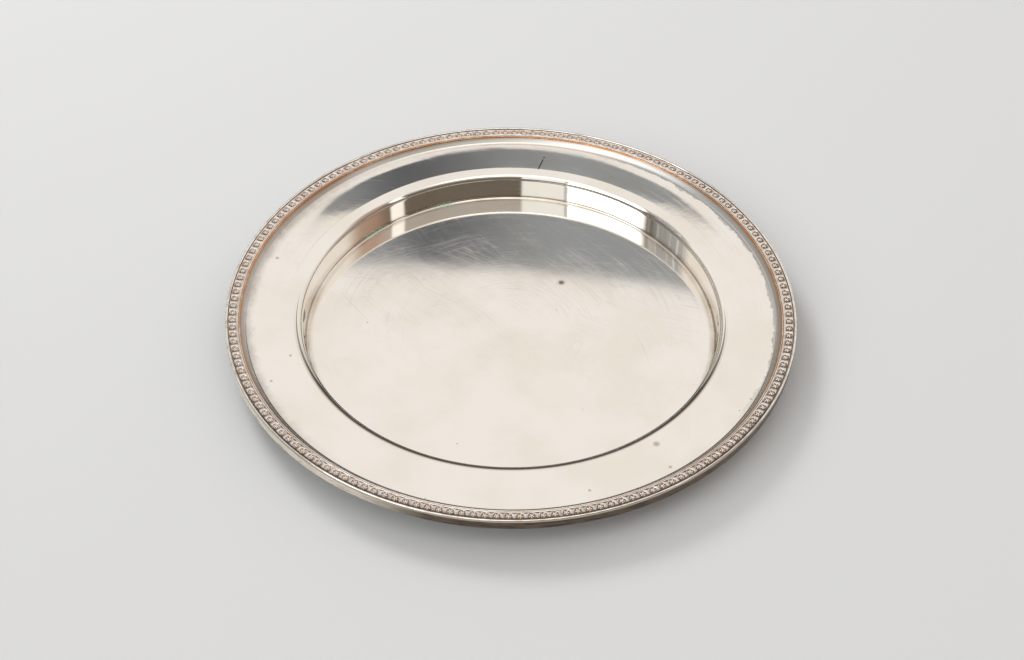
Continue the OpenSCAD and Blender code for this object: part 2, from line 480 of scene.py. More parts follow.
def rosetteRun():
    # Geometry Nodes: tiles and flower heads set out round the axis, a pitch apart
    tree = bpy.data.node_groups.new("rosetteRun", "GeometryNodeTree")
    sockets = [("Ground", "NodeSocketObject"), ("Flower", "NodeSocketObject"),
               ("Count", "NodeSocketInt"), ("Start", "NodeSocketFloat"),
               ("Pitch", "NodeSocketFloat"), ("Ring radius", "NodeSocketFloat"),
               ("Face height", "NodeSocketFloat"), ("Turn jitter", "NodeSocketFloat"),
               ("Scale jitter", "NodeSocketFloat"), ("Seed", "NodeSocketInt"),
               ("Metal", "NodeSocketMaterial")]
    for name, kind in sockets:
        tree.interface.new_socket(name, in_out="INPUT", socket_type=kind)
    tree.interface.new_socket("Geometry", in_out="OUTPUT", socket_type="NodeSocketGeometry")
    given = add(tree, "NodeGroupInput").outputs
    index = add(tree, "GeometryNodeInputIndex")
    middle = add(tree, "ShaderNodeMath", (index, 0.5), operation="ADD")
    angle = add(tree, "ShaderNodeMath", (middle, given["Pitch"], given["Start"]),
                operation="MULTIPLY_ADD")
    upright = add(tree, "ShaderNodeCombineXYZ", {"Z": angle})

    axisPoints = add(tree, "GeometryNodePoints", {"Count": given["Count"]}).outputs[0]
    tile = add(tree, "GeometryNodeObjectInfo", {"Object": given["Ground"]}).outputs["Geometry"]
    tiles = add(tree, "GeometryNodeInstanceOnPoints",
                {"Points": axisPoints, "Instance": tile, "Rotation": upright}).outputs[0]
    ground = add(tree, "GeometryNodeRealizeInstances", {"Geometry": tiles}).outputs[0]
    merged = add(tree, "GeometryNodeMergeByDistance",
                 {"Geometry": ground, "Distance": 1e-05}).outputs[0]

    x = add(tree, "ShaderNodeMath",
            (add(tree, "ShaderNodeMath", (angle,), operation="COSINE"), given["Ring radius"]),
            operation="MULTIPLY")
    y = add(tree, "ShaderNodeMath",
            (add(tree, "ShaderNodeMath", (angle,), operation="SINE"), given["Ring radius"]),
            operation="MULTIPLY")
    place = add(tree, "ShaderNodeCombineXYZ", {"X": x, "Y": y, "Z": given["Face height"]})
    ringPoints = add(tree, "GeometryNodePoints",
                     {"Count": given["Count"], "Position": place}).outputs[0]
    flower = add(tree, "GeometryNodeObjectInfo", {"Object": given["Flower"]}).outputs["Geometry"]
    jitter = add(tree, "FunctionNodeRandomValue", {"Min": -1.0, "Max": 1.0, "Seed": given["Seed"]},
                 data_type="FLOAT")
    turned = add(tree, "ShaderNodeMath", (jitter, given["Turn jitter"], angle),
                 operation="MULTIPLY_ADD")
    turnedUp = add(tree, "ShaderNodeCombineXYZ", {"Z": turned})
    scale = add(tree, "ShaderNodeMath", (jitter, given["Scale jitter"], 1.0),
                operation="MULTIPLY_ADD")
    size = add(tree, "ShaderNodeCombineXYZ", {"X": scale, "Y": scale, "Z": scale})
    flowers = add(tree, "GeometryNodeInstanceOnPoints",
                  {"Points": ringPoints, "Instance": flower, "Rotation": turnedUp,
                   "Scale": size}).outputs[0]
    realFlowers = add(tree, "GeometryNodeRealizeInstances", {"Geometry": flowers}).outputs[0]
    marked = add(tree, "GeometryNodeStoreNamedAttribute",
                 {"Geometry": realFlowers, "Name": "wear", "Value": 1.0}, data_type="FLOAT",
                 domain="POINT").outputs[0]

    joined = add(tree, "GeometryNodeJoinGeometry")
    tree.links.new(merged, joined.inputs[0])
    tree.links.new(marked, joined.inputs[0])
    done = add(tree, "GeometryNodeSetMaterial",
               {"Geometry": joined.outputs[0], "Material": given["Metal"]}).outputs[0]
    add(tree, "NodeGroupOutput", {"Geometry": done})
    return tree


def makeBorder(b, metal):
    tree = rosetteRun()
    socket = {item.name: item.identifier for item in tree.interface.items_tree
              if item.in_out == "INPUT"}
    ground, flower = groundTile(b), flowerHead(b)
    pieces = []
    for i in range(b["lengths"]):
        start = math.radians(b["closingJoint"]) + i * b["rosettesEach"] * b["pitch"]
        kept = b["rosettesEach"] - (b["trim"] if i == b["lengths"] - 1 else 0)
        carrier = bpy.data.objects.new("carrier", bpy.data.meshes.new("carrier"))
        bpy.context.scene.collection.objects.link(carrier)
        run = carrier.modifiers.new("rosetteRun", "NODES")
        run.node_group = tree
        values = {"Ground": ground, "Flower": flower, "Count": b["rosettesEach"], "Start": start,
                  "Pitch": b["pitch"], "Ring radius": b["ringRadius"] * mm,
                  "Face height": faceHeight(b, b["ringRadius"]) * mm,
                  "Turn jitter": b["turnJitter"], "Scale jitter": b["scaleJitter"],
                  "Seed": b["seed"] + i, "Metal": metal}
        for name, value in values.items():
            run[socket[name]] = value
        graph = bpy.context.evaluated_depsgraph_get()
        made = bpy.data.meshes.new_from_object(carrier.evaluated_get(graph))
        bpy.data.objects.remove(carrier)

        bm = bmesh.new()
        bm.from_mesh(made)
        gap = math.radians(b["jointGap"]) / 2
        for turn, keepAbove in ((start + gap, True), (start + kept * b["pitch"] - gap, False)):
            bmesh.ops.bisect_plane(bm, geom=bm.verts[:] + bm.edges[:] + bm.faces[:], dist=1e-8,
                                   plane_co=(0, 0, 0),
                                   plane_no=(-math.sin(turn), math.cos(turn), 0),
                                   clear_inner=keepAbove, clear_outer=not keepAbove)
            openEdges = [e for e in bm.edges if e.is_boundary]
            bmesh.ops.holes_fill(bm, edges=openEdges, sides=0)
        piece = finishMesh("border_length_" + str(i + 1), bm, 50)
        piece.data.materials.append(metal)
        pieces.append(piece)
    for helper in (ground, flower):
        bpy.data.objects.remove(helper)
    return pieces


# Materials

def isNear(tree, x, y, z, spot, size, softness=0.5):
    # 1 within size millimetres of a spot, fading out past it
    there = add(tree, "ShaderNodeCombineXYZ", (x, y, z))
    gap = add(tree, "ShaderNodeVectorMath", (there, spot), operation="DISTANCE")
    return add(tree, "ShaderNodeMapRange", (gap, size * (1 + softness), size * (1 - softness)),
               interpolation_type="SMOOTHSTEP")


def hairlines(tree, x, y, centre, spacing, length, seed, low, high):
    # fine scratches in arcs round a centre, spacing apart and about length long, in millimetres
    there = add(tree, "ShaderNodeCombineXYZ", (x, y))
    reach = add(tree, "ShaderNodeVectorMath", (there, (*centre, 0)), operation="DISTANCE")
    dx = add(tree, "ShaderNodeMath", (x, centre[0]), operation="SUBTRACT")
    dy = add(tree, "ShaderNodeMath", (y, centre[1]), operation="SUBTRACT")
    angle = add(tree, "ShaderNodeMath", (dy, dx), operation="ARCTAN2")
    mean = max(60, math.hypot(*centre))
    across = add(tree, "ShaderNodeMath", (reach, spacing), operation="DIVIDE")
    along = add(tree, "ShaderNodeMath", (angle, mean / length), operation="MULTIPLY")
    place = add(tree, "ShaderNodeCombineXYZ", (across, along, seed))
    streaks = add(tree, "ShaderNodeTexNoise",
                  {"Vector": place, "Scale": 1.0, "Detail": 2.0, "Roughness": 0.6})
    return add(tree, "ShaderNodeMapRange", (streaks, low, high), interpolation_type="SMOOTHSTEP")


silverMarks = {
    "sheen": "f8f4ee",         # clean silver
    "sheenWarm": "f3ede4",     # silver with the first trace of tarnish
    "floorRough": 0.04,
    "rimRough": 0.02,
    "scratchRough": 0.22,      # added along the hairlines
    "stepRough": 0.3,          # added on the step, where no cloth reaches
    "cloudRough": 0.008,       # added where a cloth has dulled a wide patch
    # hairlines: centre of their arcs, spacing, length, seed, and how much of the noise shows
    "lathe": ((0, 0), 0.38, 70, 1.0, 0.54, 0.84),
    "sweepLeft": ((-95, -60), 0.4, 46, 7.0, 0.55, 0.84),
    "sweepRight": ((150, 190), 0.4, 52, 13.0, 0.55, 0.84),
    "sweepNear": ((30, -170), 0.38, 40, 19.0, 0.57, 0.84),
    # radii in mm between which each of these comes in
    "floorBand": (111.5, 109.0),
    "milkyBand": (134, 143),
    "stepBand": (141.5, 142.8),
    "purpleBand": (140.0, 147.5),
    "greyBand": (143.4, 144.4),
    "stepCreaseShadeBand": (143.6, 144.2),
    "raggedness": 7.0,         # how far the tarnish's edge wanders, mm
    "purple": "6f5a50",        # thick tarnish beside the border, on the left
    "blueGrey": "a9a8a6",      # thin tarnish beside the border, on the right
    # painted shade in the crease at the top of the step, under the inner wire
    "stepCreaseShade": "9a846e",
    "cornerDarkening": "b8a793",    # where the floor meets the wall
    # painted reflection: a darker line along the front of the mouth
    "mouthPaintedReflection": "d2a868",
    "pits": "6d5a45",
    "pitSpacing": 13,          # mm
    "darkSpot": (28, 37, 1.5),  # x, y and radius in mm, as for the brown spots
    "darkStain": "5f553d",
    "stainHalo": "a39572",
    "brownSpots": [(73, -98, 1.5), (79, -113.5, 0.8), (39, -129, 0.7), (-130, 37.5, 0.9),
                   (-123, -57.5, 0.7), (-115, -38.5, 0.7), (123, -67, 0.6)],
    "brownStain": "8f6a3c",
    "nick": ((18.6, 129.4), (15, 118.5)),  # its two ends
    "nickDirt": "2a241e",
    # painted reflection of green things in the room, at the foot of the wall
    "greenReflectionAt": [(-79, 77), (-40, 101)],
    "greenReflection": "c3d2c4",
}


def silverSheet(m):
    # silver plate on spun copper, buffed: a warm white mirror that old polishing has covered
    # with hairlines, so dark reflections look milky and pale ones stay clear
    material, tree, place = startMaterial("silver plate, spun and buffed")
    x, y, z, radius = roundTheAxis(tree, place)
    flat = add(tree, "ShaderNodeCombineXYZ", (x, y))
    onFloor = add(tree, "ShaderNodeMapRange", (radius, *m["floorBand"]),
                  interpolation_type="SMOOTHSTEP")

    # colour: faint warm clouds, as thin tarnish makes
    clouds = add(tree, "ShaderNodeTexNoise",
                 {"Vector": flat, "Scale": 1 / 45, "Detail": 3, "Roughness": 0.5})
    clouds = add(tree, "ShaderNodeMapRange", (clouds, 0.38, 0.66),
                 interpolation_type="SMOOTHSTEP")
    colour = add(tree, "ShaderNodeMix",
                 {0: clouds, 6: linear(m["sheen"]), 7: linear(m["sheenWarm"])}, data_type="RGBA")

    # hairlines: rings left by the spinning lathe, and sweeps left by a polishing cloth
    lathe = hairlines(tree, x, y, *m["lathe"])
    sweepLeft = hairlines(tree, x, y, *m["sweepLeft"])
    sweepRight = hairlines(tree, x, y, *m["sweepRight"])
    sweepNear = hairlines(tree, x, y, *m["sweepNear"])
    sweeps = add(tree, "ShaderNodeMath", (sweepLeft, sweepRight), operation="MAXIMUM")
    sweeps = add(tree, "ShaderNodeMath", (sweeps, sweepNear), operation="MAXIMUM")
    worn = add(tree, "ShaderNodeTexNoise",
               {"Vector": flat, "Scale": 1 / 26, "Detail": 3, "Roughness": 0.6})
    worn = add(tree, "ShaderNodeMapRange", (worn, 0.36, 0.66), interpolation_type="SMOOTHSTEP")
    floorLines = add(tree, "ShaderNodeMath",
                     (add(tree, "ShaderNodeMath", (sweeps, lathe), operation="MAXIMUM"),
                      add(tree, "ShaderNodeMath", (worn, 0.6, 0.4), operation="MULTIPLY_ADD")),
                     operation="MULTIPLY")
    rimLines = add(tree, "ShaderNodeMath",
                   (add(tree, "ShaderNodeMath", (lathe, sweepLeft), operation="MAXIMUM"),
                    add(tree, "ShaderNodeMath", (worn, 0.4, 0.3), operation="MULTIPLY_ADD")),
                   operation="MULTIPLY")
    lines = add(tree, "ShaderNodeMix", {0: onFloor, 2: rimLines, 3: floorLines},
                data_type="FLOAT")

    # roughness: clear mirror, dulled by hairlines, by wear and by the milky edge of the rim
    rough = add(tree, "ShaderNodeMath", (onFloor, m["floorRough"] - m["rimRough"], m["rimRough"]),
                operation="MULTIPLY_ADD")
    rough = add(tree, "ShaderNodeMath", (lines, m["scratchRough"], rough),
                operation="MULTIPLY_ADD")
    rough = add(tree, "ShaderNodeMath", (worn, m["cloudRough"], rough), operation="MULTIPLY_ADD")
    milky = add(tree, "ShaderNodeMapRange", (radius, *m["milkyBand"]),
                interpolation_type="SMOOTHSTEP")
    rough = add(tree, "ShaderNodeMath", (milky, 0.03, rough), operation="MULTIPLY_ADD")
    onStep = add(tree, "ShaderNodeMapRange", (radius, *m["stepBand"]),
                 interpolation_type="SMOOTHSTEP")
    rough = add(tree, "ShaderNodeMath", (onStep, m["stepRough"], rough), operation="MULTIPLY_ADD")
    # the underside is duller
    facing = add(tree, "ShaderNodeNewGeometry").outputs["Normal"]
    facingUp = add(tree, "ShaderNodeSeparateXYZ", (facing,)).outputs[2]
    under = add(tree, "ShaderNodeMapRange", (facingUp, -0.1, -0.4),
                interpolation_type="SMOOTHSTEP")
    rough = add(tree, "ShaderNodeMath", (under, 0.18, rough), operation="MULTIPLY_ADD")

    # tarnish beside the border: purple-brown on the left, thin and grey on the right
    ragged = add(tree, "ShaderNodeTexNoise",
                 {"Vector": place, "Scale": 1 / 7, "Detail": 4, "Roughness": 0.6})
    ragged = add(tree, "ShaderNodeMath", (ragged, m["raggedness"], radius),
                 operation="MULTIPLY_ADD")
    pastRing = add(tree, "ShaderNodeMapRange", (radius, 118, 128),
                   interpolation_type="SMOOTHSTEP")
    leftSide = towards(tree, x, y, radius, 178, 20, 62)
    purple = add(tree, "ShaderNodeMapRange", (ragged, *m["purpleBand"]),
                 interpolation_type="SMOOTHSTEP")
    purple = add(tree, "ShaderNodeMath", (purple, leftSide), operation="MULTIPLY")
    purple = add(tree, "ShaderNodeMath", (purple, pastRing), operation="MULTIPLY")
    purple = add(tree, "ShaderNodeMath", (purple, 0.5), operation="MULTIPLY")
    colour = add(tree, "ShaderNodeMix", {0: purple, 6: colour, 7: linear(m["purple"])},
                 data_type="RGBA")
    rightSide = towards(tree, x, y, radius, 18, 30, 58)
    grey = add(tree, "ShaderNodeMapRange", (ragged, *m["greyBand"]),
               interpolation_type="SMOOTHSTEP")
    grey = add(tree, "ShaderNodeMath", (grey, rightSide), operation="MULTIPLY")
    grey = add(tree, "ShaderNodeMath", (grey, pastRing), operation="MULTIPLY")
    grey = add(tree, "ShaderNodeMath", (grey, 0.7), operation="MULTIPLY")
    colour = add(tree, "ShaderNodeMix", {0: grey, 6: colour, 7: linear(m["blueGrey"])},
                 data_type="RGBA")
    # painted shade: a darker band in the crease at the top of the step, just under the inner wire
    stepCreaseShade = add(tree, "ShaderNodeMapRange", (radius, *m["stepCreaseShadeBand"]),
                   interpolation_type="SMOOTHSTEP")
    stepCreaseShade = add(tree, "ShaderNodeMath", (stepCreaseShade, 0.4), operation="MULTIPLY")
    colour = add(tree, "ShaderNodeMix", {0: stepCreaseShade, 6: colour, 7: linear(m["stepCreaseShade"])},
                 data_type="RGBA")

    # darker and browner in patches near the corner where the floor meets the wall; and painted
    # reflection: a warm darker line along the front of the mouth's roll
    outwards = add(tree, "ShaderNodeMapRange", (radius, 107, 109.6),
                   interpolation_type="SMOOTHSTEP")
    downwards = add(tree, "ShaderNodeMapRange", (z, 3.4, 2.0), interpolation_type="SMOOTHSTEP")
    corner = add(tree, "ShaderNodeMath", (outwards, downwards), operation="MULTIPLY")
    patchy = add(tree, "ShaderNodeMath", (worn, 0.35, 0.3), operation="MULTIPLY_ADD")
    corner = add(tree, "ShaderNodeMath", (corner, patchy), operation="MULTIPLY")
    colour = add(tree, "ShaderNodeMix", {0: corner, 6: colour, 7: linear(m["cornerDarkening"])},
                 data_type="RGBA")
    # painted reflection: the dark line that the front of the mouth's roll mirrors, painted in a
    # warm darker colour
    fromMouth = add(tree, "ShaderNodeMapRange", (radius, 115.4, 116.0),
                    interpolation_type="SMOOTHSTEP")
    toRing = add(tree, "ShaderNodeMapRange", (radius, 116.9, 116.3),
                 interpolation_type="SMOOTHSTEP")
    mouthLine = add(tree, "ShaderNodeMath", (fromMouth, toRing), operation="MULTIPLY")
    mouthLine = add(tree, "ShaderNodeMath",
                    (mouthLine, towards(tree, x, y, radius, 270, 60, 100)), operation="MULTIPLY")
    mouthLine = add(tree, "ShaderNodeMath", (mouthLine, 0.4), operation="MULTIPLY")
    colour = add(tree, "ShaderNodeMix", {0: mouthLine, 6: colour, 7: linear(m["mouthPaintedReflection"])},
                 data_type="RGBA")

    # pits: tiny dark points, only where a cell of the pattern is large enough to hold one
    pits = add(tree, "ShaderNodeTexVoronoi", {"Vector": flat, "Scale": 1 / m["pitSpacing"]})
    pitSize = add(tree, "ShaderNodeSeparateXYZ", (pits.outputs["Color"],)).outputs[0]
    pitSize = add(tree, "ShaderNodeMath", (pitSize, 0.06, -0.022), operation="MULTIPLY_ADD")
    pit = add(tree, "ShaderNodeMath", (pits.outputs["Distance"], pitSize), operation="LESS_THAN")
    pit = add(tree, "ShaderNodeMath", (pit, 0.45), operation="MULTIPLY")
    colour = add(tree, "ShaderNodeMix", {0: pit, 6: colour, 7: linear(m["pits"])},
                 data_type="RGBA")

    # stains
    spotX, spotY, spotSize = m["darkSpot"]
    halo = isNear(tree, x, y, 0.0, (spotX, spotY, 0), spotSize * 1.7)
    halo = add(tree, "ShaderNodeMath", (halo, 0.25), operation="MULTIPLY")
    colour = add(tree, "ShaderNodeMix", {0: halo, 6: colour, 7: linear(m["stainHalo"])},
                 data_type="RGBA")
    stain = isNear(tree, x, y, 0.0, (spotX, spotY, 0), spotSize)
    stain = add(tree, "ShaderNodeMath", (stain, 0.8), operation="MULTIPLY")
    colour = add(tree, "ShaderNodeMix", {0: stain, 6: colour, 7: linear(m["darkStain"])},
                 data_type="RGBA")
    for spotX, spotY, spotSize in m["brownSpots"]:
        spot = isNear(tree, x, y, 0.0, (spotX, spotY, 0), spotSize, 0.7)
        spot = add(tree, "ShaderNodeMath", (spot, 0.55), operation="MULTIPLY")
        colour = add(tree, "ShaderNodeMix", {0: spot, 6: colour, 7: linear(m["brownStain"])},
                     data_type="RGBA")
    (ax, ay), (bx, by) = m["nick"]
    length = math.hypot(bx - ax, by - ay)
    ux, uy = (bx - ax) / length, (by - ay) / length
    dx = add(tree, "ShaderNodeMath", (x, ax), operation="SUBTRACT")
    dy = add(tree, "ShaderNodeMath", (y, ay), operation="SUBTRACT")
    along = add(tree, "ShaderNodeMath",
                (add(tree, "ShaderNodeMath", (dx, ux), operation="MULTIPLY"),
                 add(tree, "ShaderNodeMath", (dy, uy), operation="MULTIPLY")), operation="ADD")
    aside = add(tree, "ShaderNodeMath",
                (add(tree, "ShaderNodeMath", (dx, uy), operation="MULTIPLY"),
                 add(tree, "ShaderNodeMath", (dy, ux), operation="MULTIPLY")),
                operation="SUBTRACT")
    aside = add(tree, "ShaderNodeMath", (aside,), operation="ABSOLUTE")
    inNick = add(tree, "ShaderNodeMapRange", (aside, 0.45, 0.2), interpolation_type="SMOOTHSTEP")
    inNick = add(tree, "ShaderNodeMath",
                 (inNick,
                  add(tree, "ShaderNodeMapRange", (along, 1.6, 2.4),
                      interpolation_type="SMOOTHSTEP")), operation="MULTIPLY")
    inNick = add(tree, "ShaderNodeMath",
                 (inNick,
                  add(tree, "ShaderNodeMapRange", (along, length + 0.3, length - 0.5),
                      interpolation_type="SMOOTHSTEP")), operation="MULTIPLY")
    inNick = add(tree, "ShaderNodeMath", (inNick, isNear(tree, x, y, 0.0, (ax, ay, 0), 0.5)),
                 operation="MAXIMUM")
    inNick = add(tree, "ShaderNodeMath", (inNick, 0.9), operation="MULTIPLY")
    colour = add(tree, "ShaderNodeMix", {0: inNick, 6: colour, 7: linear(m["nickDirt"])},
                 data_type="RGBA")
    # painted reflection: pale green patches at the foot of the wall on the far left, broken up by
    # noise and made rougher
    for greenX, greenY in m["greenReflectionAt"]:
        green = isNear(tree, x, y, z, (greenX, greenY, 2.4), 7.0, 0.5)
        green = add(tree, "ShaderNodeMath",
                    (green,
                     add(tree, "ShaderNodeMapRange", (z, 3.6, 2.4),
                         interpolation_type="SMOOTHSTEP")), operation="MULTIPLY")
        green = add(tree, "ShaderNodeMath",
                    (green,
                     add(tree, "ShaderNodeMapRange", (radius, 107.6, 108.8),
                         interpolation_type="SMOOTHSTEP")), operation="MULTIPLY")
        greenBreakup = add(tree, "ShaderNodeTexNoise",
                    {"Vector": place, "Scale": 1 / 1.6, "Detail": 3, "Roughness": 0.7})
        green = add(tree, "ShaderNodeMath",
                    (green,
                     add(tree, "ShaderNodeMapRange", (greenBreakup, 0.44, 0.52),
                         interpolation_type="SMOOTHSTEP")), operation="MULTIPLY")
        rough = add(tree, "ShaderNodeMath", (green, 0.4, rough), operation="MULTIPLY_ADD")
        green = add(tree, "ShaderNodeMath", (green, 0.85), operation="MULTIPLY")
        colour = add(tree, "ShaderNodeMix", {0: green, 6: colour, 7: linear(m["greenReflection"])},
                     data_type="RGBA")

    # the hairlines' own depth, and the slight waviness that ripples the edge of a reflection
    waves = add(tree, "ShaderNodeTexNoise",
                {"Vector": flat, "Scale": 1 / 9, "Detail": 2, "Roughness": 0.5})
    waves = add(tree, "ShaderNodeMath", (waves, 0.0035), operation="MULTIPLY")
    dents = add(tree, "ShaderNodeTexNoise",
                {"Vector": flat, "Scale": 1 / 3, "Detail": 3, "Roughness": 0.6})
    dents = add(tree, "ShaderNodeMath", (dents, 0.0012), operation="MULTIPLY")
    offFloor = add(tree, "ShaderNodeMath", (onFloor, -0.6, 1.0), operation="MULTIPLY_ADD")
    waves = add(tree, "ShaderNodeMath", (dents, offFloor, waves), operation="MULTIPLY_ADD")
    height = add(tree, "ShaderNodeMath", (lines, 0.0003, waves), operation="MULTIPLY_ADD")
    bump = add(tree, "ShaderNodeBump", {"Height": height, "Distance": mm, "Strength": 1.0})
    finishMaterial(tree, {"Base Color": colour, "Roughness": rough, "Metallic": 1.0,
                          "Normal": bump})
    return material


wireMarks = {
    "bright": "fbf6ee",        # the edge wire's own colour, kept on its crown
    "dull": "dccfbf",
    "paintedSideShade": "c6b8a6",        # painted shade on the edge wire's sides
    "copper": "dc9358",        # the inner wire, where the plate has gone
    "copperDull": "eab88c",
    "silvered": "e4d8ca",      # the inner wire's crown
    "silveredDull": "f8f0e6",
}


def edgeWireMetal(m):
    # silver wire, drawn: the highest line of the edge; its crown keeps the wire's own colour and
    # painted shade darkens its sides
    material, tree, place = startMaterial("silver wire, drawn, with painted shade on its sides")
    z = add(tree, "ShaderNodeSeparateXYZ", (place,)).outputs[2]
    dull = add(tree, "ShaderNodeTexNoise",
               {"Vector": place, "Scale": 1 / 5, "Detail": 4, "Roughness": 0.6})
    dull = add(tree, "ShaderNodeMapRange", (dull, 0.42, 0.7), interpolation_type="SMOOTHSTEP")
    colour = add(tree, "ShaderNodeMix", {0: dull, 6: linear(m["bright"]), 7: linear(m["dull"])},
                 data_type="RGBA")
    # painted shade: below the crown the sides take the darker colour
    crest = add(tree, "ShaderNodeMapRange", (z, topHeight - 0.55, topHeight - 0.2),
                interpolation_type="SMOOTHSTEP")
    colour = add(tree, "ShaderNodeMix", {0: crest, 6: linear(m["paintedSideShade"]), 7: colour},
                 data_type="RGBA")
    rough = add(tree, "ShaderNodeMath", (dull, 0.12, 0.1), operation="MULTIPLY_ADD")
    finishMaterial(tree, {"Base Color": colour, "Roughness": rough, "Metallic": 1.0})
    return material


def wornWireMetal(m):
    # silver plate rubbed off a copper wire: silver on its crown, and a thin orange line where
    # the plate has gone along its inner side
    material, tree, place = startMaterial("copper wire, silver worn off")
    x, y, _, radius = roundTheAxis(tree, place)
    patches = add(tree, "ShaderNodeTexNoise",
                  {"Vector": place, "Scale": 1 / 9, "Detail": 4, "Roughness": 0.6})
    patches = add(tree, "ShaderNodeMapRange", (patches, 0.36, 0.56),
                  interpolation_type="SMOOTHSTEP")
    copper = add(tree, "ShaderNodeMix",
                 {0: patches, 6: linear(m["copperDull"]), 7: linear(m["copper"])},
                 data_type="RGBA")
    silvered = add(tree, "ShaderNodeMix",
                   {0: patches, 6: linear(m["silveredDull"]), 7: linear(m["silvered"])},
                   data_type="RGBA")
    inside = innerWireOut - wireSizes["innerWidth"]
    bare = add(tree, "ShaderNodeMapRange", (radius, inside + 0.62, inside + 0.4),
               interpolation_type="SMOOTHSTEP")
    # at the front the plate is still there but for a few short stretches
    kept = add(tree, "ShaderNodeTexNoise",
               {"Vector": place, "Scale": 1 / 6, "Detail": 2, "Roughness": 0.5})
    kept = add(tree, "ShaderNodeMapRange", (kept, 0.62, 0.5), interpolation_type="SMOOTHSTEP")
    kept = add(tree, "ShaderNodeMath", (kept, towards(tree, x, y, radius, 268, 20, 55)),
               operation="MULTIPLY")
    bare = add(tree, "ShaderNodeMath",
               (bare, add(tree, "ShaderNodeMath", (1.0, kept), operation="SUBTRACT")),
               operation="MULTIPLY")
    colour = add(tree, "ShaderNodeMix", {0: bare, 6: silvered, 7: copper}, data_type="RGBA")
    rough = add(tree, "ShaderNodeMath", (patches, 0.1, 0.2), operation="MULTIPLY_ADD")
    finishMaterial(tree, {"Base Color": colour, "Roughness": rough, "Metallic": 1.0})
    return material


bandMarks = {
    # tarnish, darkened further as a painted reflection of the dark surface below the edge
    "tarnishAndDarkReflection": "7d7063",
    "darkerTarnishAndReflection": "4c423a",
    # painted light on the band at the front left
    "paintedLight": "f6ecdc",
    "paintedLightTowards": 220,      # degrees, anticlockwise from the right: the front left
    "streaksRound": 90.0,      # streaks that fit round the edge
    "streakHeight": 1.11,      # mm
}


def bandMetal(m):
    # silver band, lapped: never polished, so grey-brown with streaks; the grey-brown is partly a
    # painted dark reflection, and painted light brightens the front left
    material, tree, place = startMaterial("silver band, lapped and tarnished")
    x, y, z, radius = roundTheAxis(tree, place)
    angle = add(tree, "ShaderNodeMath", (y, x), operation="ARCTAN2")
    along = add(tree, "ShaderNodeMath", (angle, m["streaksRound"] / (2 * math.pi)),
                operation="MULTIPLY")
    height = add(tree, "ShaderNodeMath", (z, m["streakHeight"]), operation="DIVIDE")
    stretched = add(tree, "ShaderNodeCombineXYZ", (along, height))
    streaks = add(tree, "ShaderNodeTexNoise",
                  {"Vector": stretched, "Scale": 1.0, "Detail": 4, "Roughness": 0.65})
    # tarnish and painted dark reflection, in streaks round the band
    dark = add(tree, "ShaderNodeMapRange", (streaks, 0.35, 0.7), interpolation_type="SMOOTHSTEP")
    colour = add(tree, "ShaderNodeMix",
                 {0: dark, 6: linear(m["tarnishAndDarkReflection"]), 7: linear(m["darkerTarnishAndReflection"])},
                 data_type="RGBA")
    # painted light: pale streaks on the band at the front left
    paintedLight = add(tree, "ShaderNodeMapRange", (streaks, 0.8, 0.5), interpolation_type="SMOOTHSTEP")
    paintedLight = add(tree, "ShaderNodeMath",
                 (paintedLight, towards(tree, x, y, radius, m["paintedLightTowards"], 16, 36)),
                 operation="MULTIPLY")
    colour = add(tree, "ShaderNodeMix", {0: paintedLight, 6: colour, 7: linear(m["paintedLight"])},
                 data_type="RGBA")
    rough = add(tree, "ShaderNodeMath", (streaks, 0.25, 0.2), operation="MULTIPLY_ADD")
    finishMaterial(tree, {"Base Color": colour, "Roughness": rough, "Metallic": 1.0})
    return material


borderMarks = {
    "ground": "f5ece3",
    "groundDull": "e0d0c4",
    "hollows": "65554a",
    "shadiestSide": 330,           # degrees, anticlockwise from the right: the front right, where painted shade darkens the hollows most
    "petalEdges": "b9a592",
    "petalEdgesWorn": "cc9068",  # copper
    "crowns": "fdf8f0",
}


